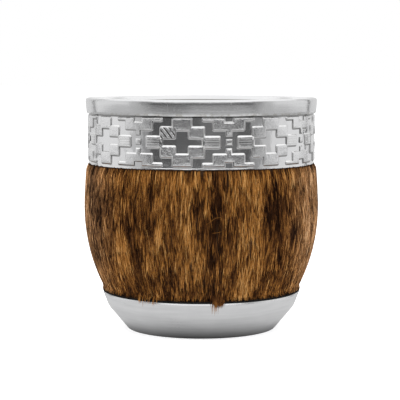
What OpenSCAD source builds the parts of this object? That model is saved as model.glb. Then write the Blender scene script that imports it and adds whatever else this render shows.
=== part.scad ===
// Imperial mate gourd: a hollow gourd in a hair-on hide sleeve, with an embossed
// collar round its neck, a spun rim at its mouth and a spun cup for its base.
// The origin is the middle of the flat foot, and the mouth opens along +Z.

/* [Body] */
// Height from the foot to the crest of the rim
total_h = 89.6; // [84:0.2:104]
// Diameter over the hair at the widest part of the belly
belly_d = 91.2; // [88:0.2:100]
// Height of the widest part above the foot
belly_z = 47.2; // [42:0.2:52]
// Radius of the side's curve below the widest part
belly_curve_r = 68.2; // [62:0.2:90]
// How far the hair stands off the leather at the belly
hair_pile = 1.2; // [0.6:0.1:2]
// How far the hair stands out past the collar's face, just below it
hair_shoulder = 0.75; // [0.2:0.05:1.5]
// Thickness of the leather under the hair
leather_t = 1.6; // [1:0.1:2.2]
// Wall of the gourd at the belly
gourd_wall = 5; // [3:0.25:7]
// Wall of the gourd at the neck
neck_wall = 4.45; // [3.2:0.05:7]
// Height of the gourd's underside above the foot
gourd_floor_z = 3; // [2.2:0.1:4]
// Radius of the gourd's heel, between its side and its underside
gourd_heel_r = 12; // [9:0.5:15]

/* [Collar] */
// Diameter over the raised pads of the collar
collar_d = 88; // [86:0.2:92]
// Height of the collar that shows below the rim
collar_h = 19.4; // [15:0.2:23]
// Sheet of the collar
collar_sheet = 0.6; // [0.4:0.05:0.8]
// Height of the raised pads above the sheet
emboss_h = 0.45; // [0.2:0.05:0.7]
// Groove between one pad and the next
pad_gap = 0.3; // [0.2:0.05:0.6]
// Plain margin above and below the pads
collar_hem = 0.5; // [0.3:0.1:1]
// Number of times that the pattern goes round the collar
pattern_count = 8; // [6:1:10]
// Turn of the pattern from the front, in degrees
pattern_turn = -9.6; // [-22:0.2:22]

/* [Rim] */
// Height of the rim's skirt over the collar
skirt_h = 5.8; // [5:0.2:9]
// How far the skirt would stand out at the crest, past its lower edge
skirt_flare = 0.5; // [0.2:0.05:1.4]
// Radius of the rim's outer shoulder
rim_shoulder_r = 1.2; // [0.9:0.1:3.4]
// Radius of the rim's inner lip
rim_lip_r = 2.4; // [1.5:0.1:3]
// Sheet of the rim
rim_sheet = 0.6; // [0.4:0.05:0.8]
// Depth of the sleeve below the crest of the rim
sleeve_depth = 19.6; // [12:0.2:24]
// Thickness of the sealant between the gourd's cut edge and the rim
sealant_h = 2.4; // [1.5:0.1:3]

/* [Base] */
// Height of the base cup's lip above the foot
base_h = 14.5; // [12:0.1:18]
// How far the inside of the lip stands out past the hair
lip_stand = 0.6; // [0.1:0.1:1.2]
// Height of the steep band below the lip
base_band_h = 5.5; // [3:0.1:7]
// How much narrower the band's lower edge is than its lip, on the radius
base_band_taper = 2.1; // [0.5:0.1:3]
// Radius of the bend below the band
base_bend_r = 7; // [1:0.1:9]
// Diameter of the foot at its corner
foot_d = 57.2; // [52:0.2:62]
// Radius of the foot's corner
foot_edge_r = 1.2; // [0.8:0.1:2.5]
// Sheet of the base cup
base_sheet = 0.6; // [0.4:0.05:0.9]
// Thickness of the welt on the lip
welt_d = 0.8; // [0.6:0.05:1.5]
// How deep the hide goes into the base cup
hide_tuck = 7.5; // [5:0.1:8.5]
// Depth of the glue's upper edge below the lip
glue_top_drop = 5; // [3:0.1:7]

/* [Seam] */
// Thickness of the thread
thread_d = 0.8; // [0.5:0.05:1]
// Distance between the two holes of a stitch
stitch_w = 4.8; // [3:0.1:6]
// Distance from one stitch to the next
stitch_pitch = 3.8; // [2.5:0.1:6]
// Distance of the first and last stitch from the base's welt and the collar
seam_margin = 3; // [1:0.5:6]
// Width of the parted strip along the seam
parting_w = 7; // [6.5:0.1:9]
// Height of the stubble that is left in the parted strip
stubble_h = 0.15; // [0.1:0.05:0.4]
// Opening between the two edges of the hide
seam_slit = 0.3; // [0.2:0.05:0.6]

/* [Fit] */
// Gap between one layer and the next
layer_fit = 0.1; // [0.05:0.01:0.2]
// Gap round the thread in its holes
thread_fit = 0.05; // [0.03:0.01:0.1]
// Gap between the skirt's lower edge and the collar's sheet
skirt_fit = 0.25; // [0.15:0.05:0.5]

/* [Hidden] */
$fn = 96;

// Pieces of each curved stretch in an outline
curve_steps = 10;
// Clear margin by which a cutting shape passes the face that it cuts
cut_past = 1;

// Layers at the neck, from the collar's pads inwards
pad_r = collar_d / 2;
collar_r = pad_r - emboss_h;
collar_in_r = collar_r - collar_sheet;
neck_leather_r = collar_in_r - layer_fit;
neck_r = neck_leather_r - leather_t - layer_fit;
neck_bore_r = neck_r - neck_wall;
mouth_r = neck_bore_r - layer_fit - rim_sheet;

// Heights at the neck
skirt_z = total_h - skirt_h;
collar_z = skirt_z - collar_h;
rim_under_z = total_h - rim_sheet;
gourd_top_z = rim_under_z - sealant_h - 2 * layer_fit;
collar_top_z = skirt_z + skirt_h / 2;

// Rim outline
skirt_r = collar_r + skirt_fit + rim_sheet;
rim_r = skirt_r + skirt_flare;

// Side of the body, counted inwards from the face of the hair
belly_r = belly_d / 2;
gourd_inset = hair_pile + leather_t + layer_fit;
side_centre = [belly_r - belly_curve_r, belly_z];
heel_z = gourd_floor_z + gourd_heel_r;
heel_reach = belly_curve_r - gourd_inset - gourd_heel_r;
heel_centre = [side_centre[0] + sqrt(pow(heel_reach, 2) - pow(belly_z - heel_z, 2)), heel_z];
heel_turn = atan2(heel_centre[1] - side_centre[1], heel_centre[0] - side_centre[0]);
// Radius that lies outside all of the hair
past_hair_r = max(belly_r, pad_r + hair_shoulder) + cut_past;

// Base cup outline
lip_r = side_r(base_h, 0) + lip_stand + base_sheet;
bend_z = base_h - base_band_h;
bend_r = lip_r - base_band_taper;
foot_corner = [foot_d / 2, 0];
// Face of the base cup, from the axis out along the foot and up to the lip
base_face = concat(
    [[0, 0]],
    rounded([0, 0], foot_corner, [bend_r, bend_z], foot_edge_r),
    rounded(foot_corner, [bend_r, bend_z], [lip_r, base_h], base_bend_r),
    [[lip_r, base_h]]
);
lip_inner_corner = moved(base_face, base_sheet)[len(base_face) - 1];

// Heights where the base meets the hide
welt_z = lip_inner_corner[1] + layer_fit + welt_d / 2;
hair_z = welt_z + welt_d / 2 + layer_fit;
hide_z = base_h - hide_tuck;
glue_top_z = base_h - glue_top_drop;

// Places of the stitches, between the collar and the base
seam_low_z = hair_z + seam_margin;
seam_high_z = collar_z - seam_margin;
stitch_count = floor((seam_high_z - seam_low_z) / stitch_pitch) + 1;

// Cells of the collar's pattern: turns in degrees, heights from the pattern's middle
tile_turn = 360 / pattern_count;
pad_gap_turn = pad_gap / pad_r * 180 / PI;
pattern_z = collar_z + collar_h / 2;
pattern_half_h = collar_h / 2 - collar_hem;
pad_step_turn = 0.16 * tile_turn;
pad_turn = pad_step_turn - pad_gap_turn;
pad_h = 0.55 * pattern_half_h;
pad_step_h = (pattern_half_h - pad_h / 2) / 2;
square_turn = 0.066 * tile_turn;
square_h = 0.26 * pattern_half_h;
stem_turn = 0.085 * tile_turn;
stem_low_h = 0.22 * pattern_half_h;
stem_high_h = 0.83 * pattern_half_h;
arm_end_turn = 0.183 * tile_turn;
arm_low_h = 0.44 * pattern_half_h;
outer_low_h = 0.79 * pattern_half_h;
outer_start_turn = arm_end_turn + pad_gap_turn;
outer_end_turn = 0.31 * tile_turn;

// Points of an arc about a centre, from one angle to another
function arc(centre, r, from, to) =
    [for (i = [0 : curve_steps])
        let (a = from + (to - from) * i / curve_steps)
        centre + r * [cos(a), sin(a)]];

// Radius at a height that eases from r0 at z0 to r1 at z1 and stays there
function eased(z, z0, r0, z1, r1) = z >= z1 ? r1 : r1 + (r0 - r1) * cos(90 * (z - z0) / (z1 - z0));

// Radius of the lower side at a height, a given depth under the face of the hair
function side_r(z, inset) =
    side_centre[0] + sqrt(pow(belly_curve_r - inset, 2) - pow(belly_z - z, 2));

// Radii of the hair's face, of the leather's face and of the gourd at a height
function hair_r(z) =
    z < belly_z ? side_r(z, 0) : eased(z, belly_z, belly_r, collar_z, pad_r + hair_shoulder);
function gourd_r(z) =
    z < belly_z ? side_r(z, gourd_inset)
    : eased(z, belly_z, belly_r - gourd_inset, collar_z, neck_r);
function leather_r(z) = gourd_r(z) + layer_fit + leather_t;

// Evenly spaced heights from one to another
function heights(low, high) = [for (i = [0 : curve_steps]) low + (high - low) * i / curve_steps];

// Outline of the gourd from the axis up its side, a given depth under its own face
function gourd_outline(depth, neck) = concat(
    [[0, gourd_floor_z + depth]],
    arc(heel_centre, gourd_heel_r - depth, -90, heel_turn),
    arc(side_centre, belly_curve_r - gourd_inset - depth, heel_turn, 0),
    [for (z = heights(belly_z, collar_z))
        if (z > belly_z) [eased(z, belly_z, belly_r - gourd_inset - depth, collar_z, neck), z]]
);

// Points that round the corner b between a and c
function rounded(a, b, c, r) =
    let (to_a = (a - b) / norm(a - b))
    let (to_c = (c - b) / norm(c - b))
    let (half = acos(to_a * to_c) / 2)
    let (centre = b + (to_a + to_c) / norm(to_a + to_c) * r / sin(half))
    let (start = b + to_a * r / tan(half) - centre)
    let (stop = b + to_c * r / tan(half) - centre)
    let (from = atan2(start[1], start[0]))
    let (turn = atan2(start[0] * stop[1] - start[1] * stop[0], start * stop))
    arc(centre, r, from, from + turn);

// The same path moved sideways, to the left of the way it runs
function left_of(v) = [-v[1], v[0]] / norm(v);
function moved(path, gap) =
    let (last = len(path) - 1)
    [for (i = [0 : last])
        let (before = left_of(path[max(i, 1)] - path[max(i, 1) - 1]))
        let (after = left_of(path[min(i, last - 1) + 1] - path[min(i, last - 1)]))
        path[i] + (before + after) * gap / (1 + before * after)];

function reversed(path) = [for (i = [len(path) - 1 : -1 : 0]) path[i]];

// A sheet of even thickness spun round the axis, to the left of its face
module spun_sheet(face, sheet) {
    rotate_extrude() polygon(concat(face, reversed(moved(face, sheet))));
}

// Face of the rim, from the skirt's lower edge over the crest and down the sleeve
rim_face = concat(
    [[skirt_r, skirt_z]],
    rounded([skirt_r, skirt_z], [rim_r, total_h], [mouth_r, total_h], rim_shoulder_r),
    arc([mouth_r + rim_lip_r, total_h - rim_lip_r], rim_lip_r, 90, 180),
    [[mouth_r, total_h - sleeve_depth]]
);

// One raised pad of the collar, given by its middle turn, width, lower and upper edge
module pad(turn, width, low, high) {
    rotate([0, 0, pattern_turn - 90 + turn - width / 2])
        rotate_extrude(angle = width)
            translate([collar_r - collar_sheet / 2, pattern_z + low])
                square([collar_sheet / 2 + emboss_h, high - low]);
}

// A pad between two heights above the pattern's middle, and its mirror image below
module pad_pair(turn, width, low, high) {
    pad(turn, width, low, high);
    pad(turn, width, -high, -low);
}

// Ring of stepped pads round a plus-shaped hollow
module diamond(turn) {
    for (side = [-1, 1]) {
        pad(turn + side * 2 * pad_step_turn, pad_turn, -pad_h / 2, pad_h / 2);
        pad_pair(turn + side * pad_step_turn, pad_turn,
            pad_step_h - pad_h / 2, pad_step_h + pad_h / 2);
    }
    pad_pair(turn, pad_turn, 2 * pad_step_h - pad_h / 2, pattern_half_h);
}

// Small square with a stepped branch above and below it
module branch(turn) {
    arm_start_turn = stem_turn / 2 + pad_gap_turn;
    pad(turn, square_turn, -square_h / 2, square_h / 2);
    pad_pair(turn, stem_turn, stem_low_h, stem_high_h);
    for (side = [-1, 1]) {
        pad_pair(turn + side * (arm_start_turn + arm_end_turn) / 2, arm_end_turn - arm_start_turn,
            arm_low_h, pattern_half_h);
        pad_pair(turn + side * (outer_start_turn + outer_end_turn) / 2,
            outer_end_turn - outer_start_turn, outer_low_h, pattern_half_h);
    }
}

module gourd_shell() {
    inside = gourd_outline(gourd_wall, neck_bore_r);
    color("peru")
        rotate_extrude()
            polygon(concat(
                gourd_outline(0, neck_r),
                [[neck_r, gourd_top_z], [neck_bore_r, gourd_top_z]],
                reversed(inside)
            ));
}

module hide_wrap() {
    shoulder_z = collar_z - layer_fit;
    hair_top_r = hair_r(shoulder_z);
    leather_low = [for (z = heights(hide_z, hair_z)) [leather_r(z), z]];
    hair_low = [for (z = heights(hair_z, belly_z)) [hair_r(z), z]];
    hair_high = [for (z = heights(belly_z, shoulder_z - hair_shoulder)) if (z > belly_z) [hair_r(z), z]];
    under_collar = [
        [hair_top_r - hair_shoulder, shoulder_z],
        [neck_leather_r, shoulder_z],
        [neck_leather_r, gourd_top_z],
        [neck_r + layer_fit, gourd_top_z]
    ];
    inner = concat(
        [for (z = heights(hide_z, belly_z)) [gourd_r(z) + layer_fit, z]],
        [for (z = heights(belly_z, collar_z)) if (z > belly_z) [gourd_r(z) + layer_fit, z]]
    );
    color("saddlebrown")
        difference() {
            rotate_extrude()
                polygon(concat(leather_low, hair_low, hair_high, under_collar, reversed(inner)));
            parting();
            translate([-seam_slit / 2, 0, hide_z - cut_past])
                cube([seam_slit, past_hair_r, total_h]);
            stitch_holes();
        }
}

// Strip along the seam where the hair is parted down to the leather
module parting() {
    half_turn = asin(parting_w / 2 / belly_r);
    low_z = hair_z - cut_past;
    faces = concat(heights(low_z, belly_z), [for (z = heights(belly_z, collar_z)) if (z > belly_z) z]);
    rotate([0, 0, 90 - half_turn])
        rotate_extrude(angle = 2 * half_turn)
            polygon(concat(
                [for (z = faces) [leather_r(z) + stubble_h, z]],
                [[past_hair_r, collar_z], [past_hair_r, low_z]]
            ));
}

// Height of a stitch
function stitch_z(i) = seam_low_z + i * stitch_pitch;

// How far the middle of the thread lies off the leather, so that it clears a sloping face
function thread_lift(z) =
    let (slope = (leather_r(z + thread_d) - leather_r(z - thread_d)) / (2 * thread_d))
    stubble_h + layer_fit + thread_d / 2 * sqrt(1 + slope * slope);

module stitch_holes() {
    hole_d = thread_d + 2 * thread_fit;
    for (i = [0 : stitch_count - 1])
        let (z = stitch_z(i))
            for (side = [-1, 1])
                translate([side * stitch_w / 2, leather_r(z), z])
                    rotate([90, 0, 0])
                        cylinder(h = 2 * (leather_t + cut_past), d = hole_d, center = true);
}

module hide_seam_thread() {
    color("wheat")
        for (i = [0 : stitch_count - 1])
            let (z = stitch_z(i))
            let (lift = thread_lift(z))
                translate([0, leather_r(z) + lift, z]) {
                    for (side = [-1, 1])
                        translate([side * stitch_w / 2, 0, 0])
                            rotate([90, 0, 0])
                                cylinder(h = lift + leather_t / 2, d = thread_d);
                    rotate([0, 90, 0])
                        cylinder(h = stitch_w + thread_d, d = thread_d, center = true);
                }
}

module embossed_collar() {
    color("silver") {
        spun_sheet([[collar_r, collar_z], [collar_r, collar_top_z]], collar_sheet);
        for (i = [0 : pattern_count - 1]) {
            diamond(i * tile_turn);
            branch((i + 0.5) * tile_turn);
        }
    }
}

module rim_ring() {
    color("gainsboro") spun_sheet(rim_face, rim_sheet);
}

module rim_sealant() {
    color("ivory")
        translate([0, 0, gourd_top_z + layer_fit])
            difference() {
                cylinder(h = sealant_h, r = neck_r);
                translate([0, 0, -cut_past])
                    cylinder(h = sealant_h + 2 * cut_past, r = mouth_r + rim_lip_r);
            }
}

module base_cup() {
    color("lightgray") spun_sheet(base_face, base_sheet);
}

module base_glue_bed() {
    room = moved(base_face, base_sheet + layer_fit);
    hide_low_z = hide_z - layer_fit;
    past_base_z = base_h + cut_past;
    color("khaki")
        rotate_extrude()
            difference() {
                polygon(concat(room, [[0, base_h]]));
                polygon(concat(gourd_outline(-layer_fit, neck_r), [[0, collar_z]]));
                polygon(concat(
                    [for (z = heights(hide_low_z, past_base_z)) [leather_r(z) + layer_fit, z]],
                    [[0, past_base_z], [0, hide_low_z]]
                ));
                translate([0, glue_top_z]) square([lip_r + cut_past, base_h]);
            }
}

module base_welt() {
    color("black")
        rotate_extrude()
            translate([lip_r - welt_d / 2, welt_z])
                circle(d = welt_d, $fn = 24);
}

gourd_shell();
hide_wrap();
hide_seam_thread();
embossed_collar();
rim_ring();
rim_sealant();
base_cup();
base_glue_bed();
base_welt();
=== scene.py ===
"""Looks of a mate gourd: spun metal rim and base, embossed metal collar, and a brindled hair-on hide."""

import math

import bmesh
import bpy
import numpy as np
from mathutils import Matrix, Vector


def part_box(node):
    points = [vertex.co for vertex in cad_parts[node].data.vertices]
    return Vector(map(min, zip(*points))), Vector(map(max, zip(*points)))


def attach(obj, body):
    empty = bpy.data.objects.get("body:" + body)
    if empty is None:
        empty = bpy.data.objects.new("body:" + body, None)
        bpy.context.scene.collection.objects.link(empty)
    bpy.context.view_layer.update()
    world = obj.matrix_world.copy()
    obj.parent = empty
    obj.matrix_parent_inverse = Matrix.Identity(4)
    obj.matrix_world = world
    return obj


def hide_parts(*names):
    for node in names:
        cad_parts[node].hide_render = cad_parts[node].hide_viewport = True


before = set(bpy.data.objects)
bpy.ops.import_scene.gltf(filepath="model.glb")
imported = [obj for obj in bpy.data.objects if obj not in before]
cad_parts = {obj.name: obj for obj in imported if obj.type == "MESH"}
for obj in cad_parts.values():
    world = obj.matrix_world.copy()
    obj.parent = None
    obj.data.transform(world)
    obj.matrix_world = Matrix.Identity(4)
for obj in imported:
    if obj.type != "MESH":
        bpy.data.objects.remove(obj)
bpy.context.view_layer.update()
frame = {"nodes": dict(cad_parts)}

MM = 0.001

# Heights and radii that the frame gives
collar_low, collar_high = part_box("embossed_collar")
rim_low, rim_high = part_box("rim_ring")
base_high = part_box("base_cup")[1]
hide_low, hide_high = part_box("hide_wrap")
gourd_low, gourd_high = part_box("gourd_shell")
welt_low, welt_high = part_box("base_welt")
thread_low, thread_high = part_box("hide_seam_thread")
total_h = rim_high.z
collar_z = collar_low.z
pad_r = collar_high.x
belly_r = hide_high.x
base_h = base_high.z
lip_r = base_high.x

# Sheets and layers
emboss_h = 0.45 * MM
# The collar's sheet is thinner than its room, so that its dents stay clear of the leather
collar_room = 0.6 * MM
collar_sheet = 0.45 * MM
rim_sheet = 0.6 * MM
base_sheet = 0.6 * MM
layer_fit = 0.1 * MM
leather_t = 1.6 * MM
hair_pile = 1.2 * MM
hair_shoulder = 0.75 * MM
gourd_inset = hair_pile + leather_t + layer_fit

# Side of the body
belly_z = 47.2 * MM
belly_curve_r = 68.2 * MM
side_centre_x = belly_r - belly_curve_r
collar_r = pad_r - emboss_h
neck_r = collar_r - collar_room - leather_t - 2 * layer_fit
gourd_wall = 5 * MM
gourd_heel_r = 12 * MM
neck_wall = 4.45 * MM
neck_bore_r = neck_r - neck_wall
mouth_r = neck_bore_r - layer_fit - rim_sheet
welt_r = (welt_high.z - welt_low.z) / 2
welt_z = (welt_high.z + welt_low.z) / 2
hair_z = welt_high.z + layer_fit

# Rim and base
skirt_h = 5.8 * MM
skirt_z = total_h - skirt_h
skirt_fit = 0.25 * MM
skirt_r = collar_r + skirt_fit + rim_sheet
skirt_flare = 0.5 * MM
rim_hem_h = 0.9 * MM
rim_hem_turn_in = 0.1 * MM
rim_bow = 0.1 * MM
rim_edge_r = 0.18 * MM
rim_shoulder_r = 0.82 * MM
brow_drop = 1.45 * MM
brow_lean = math.radians(3)
brow_r = 4.5 * MM
rim_lip_r = 2.4 * MM
base_band_h = 5.5 * MM
base_band_taper = 2.1 * MM
base_bend = Vector((lip_r - base_band_taper, base_h - base_band_h))
base_bend_r = 7 * MM
foot_r = 28.6 * MM
foot_edge_r = 1.2 * MM
base_edge_r = 0.2 * MM
lip_edge_h = 0.55 * MM
lip_edge_share = 0.7

SPIN_STEPS = 192
ARC_STEPS = 10
MERGE_GAP = 0.001 * MM


class Sock:
    """A shader socket that takes part in sums: each operator adds one Math node."""

    def __init__(self, finish, socket):
        self.finish = finish
        self.socket = socket

    def __add__(self, other):
        return self.finish.maths("ADD", self, other)

    def __radd__(self, other):
        return self.finish.maths("ADD", other, self)

    def __sub__(self, other):
        return self.finish.maths("SUBTRACT", self, other)

    def __rsub__(self, other):
        return self.finish.maths("SUBTRACT", other, self)

    def __mul__(self, other):
        return self.finish.maths("MULTIPLY", self, other)

    def __rmul__(self, other):
        return self.finish.maths("MULTIPLY", other, self)

    def __truediv__(self, other):
        return self.finish.maths("DIVIDE", self, other)

    def __pow__(self, other):
        return self.finish.maths("POWER", self, other)


class Finish:
    """A material that is built node by node."""

    def __init__(self, name):
        self.material = bpy.data.materials.new(name)
        self.material.use_nodes = True
        self.tree = self.material.node_tree
        self.shader = self.tree.nodes["Principled BSDF"]

    def node(self, kind, settings=None, inputs=None, output=0):
        """Adds a node with its settings, fills its sockets and returns one of its outputs."""
        added = self.tree.nodes.new(kind)
        for key, value in (settings or {}).items():
            if key == "stops":
                self.fill_ramp(added.color_ramp, value)
            else:
                setattr(added, key, value)
        self.fill(added, inputs or {})
        return Sock(self, added.outputs[output])

    def fill(self, added, inputs):
        for key, value in inputs.items():
            if isinstance(value, Sock):
                self.tree.links.new(value.socket, added.inputs[key])
            else:
                added.inputs[key].default_value = value

    @staticmethod
    def fill_ramp(ramp, stops):
        while len(ramp.elements) < len(stops):
            ramp.elements.new(0.5)
        for element, (position, colour) in zip(ramp.elements, stops):
            element.position = position
            element.color = (*colour, 1)

    def maths(self, operation, a, b=0.0):
        return self.node("ShaderNodeMath", {"operation": operation}, {0: a, 1: b})

    def shade(self, **sockets):
        """Sets the shader's own sockets, named with underscores for spaces."""
        self.fill(self.shader, {name.replace("_", " "): value for name, value in sockets.items()})

    def place(self):
        """Object coordinates, as one vector."""
        return self.node("ShaderNodeTexCoord", output="Object")

    def parts(self, vector):
        """The three numbers of a vector."""
        split = self.tree.nodes.new("ShaderNodeSeparateXYZ")
        self.tree.links.new(vector.socket, split.inputs[0])
        return [Sock(self, out) for out in split.outputs]

    def vector(self, x, y, z):
        return self.node("ShaderNodeCombineXYZ", None, {0: x, 1: y, 2: z})

    def stretched(self, scale):
        """Object coordinates scaled by a different amount along each axis."""
        return self.node("ShaderNodeMapping", None, {"Vector": self.place(), "Scale": scale})

    def noise(self, vector, scale, detail=3.0, roughness=0.5):
        inputs = {"Vector": vector, "Scale": scale, "Detail": detail, "Roughness": roughness}
        return self.node("ShaderNodeTexNoise", None, inputs)

    def ramp(self, value, stops):
        return self.node("ShaderNodeValToRGB", {"stops": stops}, {"Fac": value})

    def blend(self, factor, a, b):
        """Colour between a and b."""
        settings = {"data_type": "RGBA"}
        return self.node("ShaderNodeMix", settings, {"Factor": factor, "A": a, "B": b}, output="Result")

    def between(self, value, low, high):
        """0 below low, 1 above high and a smooth slope between them."""
        settings = {"interpolation_type": "SMOOTHSTEP"}
        inputs = {"Value": value, "From Min": low, "From Max": high}
        return self.node("ShaderNodeMapRange", settings, inputs)

    def bump(self, height, distance, strength=1.0):
        inputs = {"Height": height, "Distance": distance, "Strength": strength}
        self.shade(Normal=self.node("ShaderNodeBump", None, inputs))

    def cells(self, scale):
        """Distance to the nearest of many scattered points."""
        return self.node("ShaderNodeTexVoronoi", None, {"Vector": self.place(), "Scale": scale})

    def attribute(self, name):
        return self.node("ShaderNodeAttribute", {"attribute_name": name}, output="Fac")


# Outlines in the plane of radius and height


def arc(centre, r, start, stop, steps=ARC_STEPS):
    """Points of an arc, with its angles in degrees."""
    turns = np.radians(np.linspace(start, stop, steps + 1))
    return [Vector((centre[0] + r * math.cos(t), centre[1] + r * math.sin(t))) for t in turns]


def rounded(a, b, c, r, steps=ARC_STEPS):
    """Points that round the corner b between a and c."""
    to_a = (a - b).normalized()
    to_c = (c - b).normalized()
    half = to_a.angle(to_c) / 2
    centre = b + (to_a + to_c).normalized() * (r / math.sin(half))
    start = b + to_a * (r / math.tan(half)) - centre
    stop = b + to_c * (r / math.tan(half)) - centre
    first = math.degrees(math.atan2(start.y, start.x))
    turn = math.degrees(math.atan2(start.x * stop.y - start.y * stop.x, start.dot(stop)))
    return arc(centre, r, first, first + turn, steps)


def left_of(step):
    return Vector((-step.y, step.x)).normalized()


def moved(path, gap):
    """The same path moved sideways, to the left of the way it runs."""
    last = len(path) - 1
    shifted = []
    for i, point in enumerate(path):
        before = left_of(path[max(i, 1)] - path[max(i, 1) - 1])
        after = left_of(path[min(i, last - 1) + 1] - path[min(i, last - 1)])
        shifted.append(point + (before + after) * (gap / (1 + before.dot(after))))
    return shifted


def straight(a, b, steps):
    """Points from a to b without the two ends."""
    return [a.lerp(b, i / steps) for i in range(1, steps)]


def sheet_outline(face, sheet):
    """Closed outline of a sheet that lies to the left of its face."""
    return face + moved(face, sheet)[::-1] + face[:1]


# Sides of the body at a height, for one height or an array of them


def side_r(z, inset):
    return side_centre_x + np.sqrt((belly_curve_r - inset) ** 2 - (belly_z - z) ** 2)


def eased(z, low_r, high_r):
    """Radius above the belly, from low_r there to high_r at the collar."""
    turn = np.clip((z - belly_z) / (collar_z - belly_z), 0, 1) * math.pi / 2
    return high_r + (low_r - high_r) * np.cos(turn)


def hair_r(z):
    return np.where(z < belly_z, side_r(z, 0), eased(z, belly_r, pad_r + hair_shoulder))


def gourd_r(z):
    low = side_r(np.minimum(z, belly_z), gourd_inset)
    return np.where(z < belly_z, low, eased(z, belly_r - gourd_inset, neck_r))


def leather_r(z):
    return gourd_r(z) + layer_fit + leather_t


# Modelling steps


def deselect():
    bpy.ops.object.select_all(action="DESELECT")


def select_only(piece):
    """Makes a piece the only one selected, and the active one."""
    deselect()
    piece.select_set(True)
    bpy.context.view_layer.objects.active = piece


def placed(name, data):
    """A new object in the scene for a mesh, curve, light or camera."""
    thing = bpy.data.objects.new(name, data)
    bpy.context.scene.collection.objects.link(thing)
    return thing


def spun(name, outline):
    """A closed piece, spun round the axis from an outline that is drawn point by point."""
    deselect()
    first = outline[0]
    bpy.ops.mesh.primitive_plane_add(size=MM, location=(first.x, 0, first.y))
    piece = bpy.context.object
    piece.name = name
    bpy.ops.object.transform_apply()
    bpy.ops.object.mode_set(mode="EDIT")
    bpy.ops.mesh.select_all(action="SELECT")
    bpy.ops.mesh.merge(type="CENTER")
    for here, there in zip(outline, outline[1:]):
        step = (there.x - here.x, 0, there.y - here.y)
        bpy.ops.mesh.extrude_vertices_move(TRANSFORM_OT_translate={"value": step})
    bpy.ops.mesh.select_all(action="SELECT")
    bpy.ops.mesh.spin(steps=SPIN_STEPS, angle=math.tau, center=(0, 0, 0), axis=(0, 0, 1))
    tidy_mesh()
    bpy.ops.object.mode_set(mode="OBJECT")
    return piece


def tidy_mesh():
    """Merges doubles and turns the faces outwards, in edit mode."""
    bpy.ops.mesh.select_all(action="SELECT")
    bpy.ops.mesh.remove_doubles(threshold=MERGE_GAP)
    bpy.ops.mesh.normals_make_consistent(inside=False)


def select_faces(piece, wanted):
    """Selects, in edit mode, only the faces whose middle is wanted."""
    bpy.ops.mesh.select_all(action="DESELECT")
    mesh = bmesh.from_edit_mesh(piece.data)
    for face in [face for face in mesh.faces if wanted(face.calc_center_median())]:
        face.select_set(True)
    bmesh.update_edit_mesh(piece.data)


def read_points(piece, what="co"):
    """Places or normals of a piece's points, as rows of three."""
    rows = np.empty(len(piece.data.vertices) * 3, np.float32)
    piece.data.vertices.foreach_get(what, rows)
    return rows.reshape(-1, 3)


def keep_values(mesh, label, values):
    """Keeps one number for each point of a mesh, for its finish to read."""
    attribute = mesh.attributes.new(label, "FLOAT", "POINT")
    attribute.data.foreach_set("value", values.astype(np.float32))


def reshape(piece, rule):
    """Moves every point of a piece by a rule on arrays of x, y and z."""
    x, y, z = read_points(piece).astype(float).T
    points = np.stack(rule(x, y, z), axis=1)
    piece.data.vertices.foreach_set("co", points.astype(np.float32).ravel())
    piece.data.update()


def apply_modifier(piece, kind, **settings):
    """Adds a modifier to a piece and applies it."""
    select_only(piece)
    modifier = piece.modifiers.new(kind.title(), kind)
    for key, value in settings.items():
        setattr(modifier, key, value)
    bpy.ops.object.modifier_apply(modifier=modifier.name)


def smooth(piece, angle=35):
    """Shades a piece smooth, apart from edges sharper than the angle."""
    select_only(piece)
    bpy.ops.object.shade_smooth_by_angle(angle=math.radians(angle))


def soften_edges(piece, width):
    """Rounds the sheet edges of a piece."""
    sharp = math.radians(50)
    apply_modifier(piece, "BEVEL", width=width, segments=2, limit_method="ANGLE", angle_limit=sharp)


def dress(piece, finish, slot, *nodes):
    """Gives a piece its finish and its place among the object's pieces."""
    piece.data.materials.clear()
    piece.data.materials.append(finish.material)
    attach(piece, "root")
    if nodes:
        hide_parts(*nodes)


def waves(turn, sizes):
    """A wavering round the ring: a sum of sines, given as counts, heights and phases."""
    return sum(height * np.sin(count * turn + phase) for count, height, phase in sizes)


# Finishes


def round_the_axis(finish, pitch):
    """Coordinates whose third number counts fine rings, as a lathe leaves them."""
    x, y, z = finish.parts(finish.place())
    r = (x * x + y * y) ** 0.5
    return finish.vector(x / r * 2.5, y / r * 2.5, (z * 0.8 + r) * (1 / pitch))


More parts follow.
